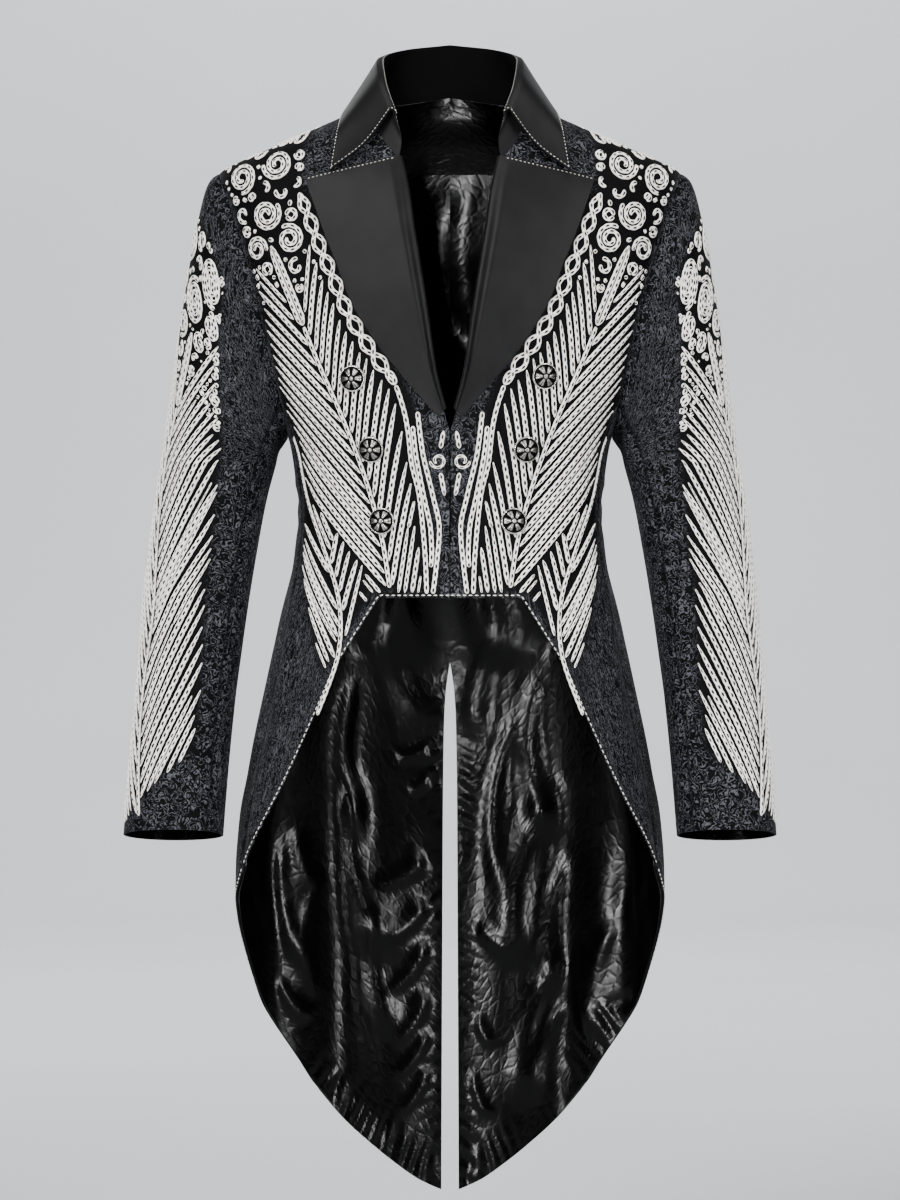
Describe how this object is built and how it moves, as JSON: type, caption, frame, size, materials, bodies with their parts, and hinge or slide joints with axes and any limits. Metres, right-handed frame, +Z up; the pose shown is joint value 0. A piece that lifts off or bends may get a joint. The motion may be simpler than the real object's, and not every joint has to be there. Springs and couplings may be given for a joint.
{
  "type": "tailcoat",
  "caption": "Black tailcoat with raised off-white cord embroidery, peaked lapels, domed metal buttons, a cut-away front and long satin-lined tails",
  "frame": {"origin": "midway between the two neck points, where the shoulder seams meet the collar; the wearer's shoulders hold the coat up there", "axes": "+Z up, the front faces -Y, the wearer's left is +X"},
  "size_m": [0.6114, 0.2586, 1.1162],
  "materials": {
    "cloth": "black wool with a tone-on-tone vermicelli texture and off-white raised chain-stitch embroidery",
    "faille": "smooth charcoal faille with a soft sheen",
    "satin": "glossy black satin lining",
    "silver": "antique silver, domed, with a petal relief"
  },
  "bodies": {
    "root": {"front_left": "cloth", "side_left": "cloth", "back_left": "cloth", "topsleeve_left": "cloth", "undersleeve_left": "cloth", "lapel_left": "faille", "lining_yoke_left": "satin", "lining_back_left": "satin", "lining_side_left": "satin", "front_right": "cloth", "side_right": "cloth", "back_right": "cloth", "topsleeve_right": "cloth", "undersleeve_right": "cloth", "lapel_right": "faille", "lining_yoke_right": "satin", "lining_back_right": "satin", "lining_side_right": "satin", "collar": "faille", "button_top_left": "silver", "button_top_right": "silver", "button_middle_left": "silver", "button_middle_right": "silver", "button_low_left": "silver", "button_low_right": "silver"}
  },
  "joints": []
}
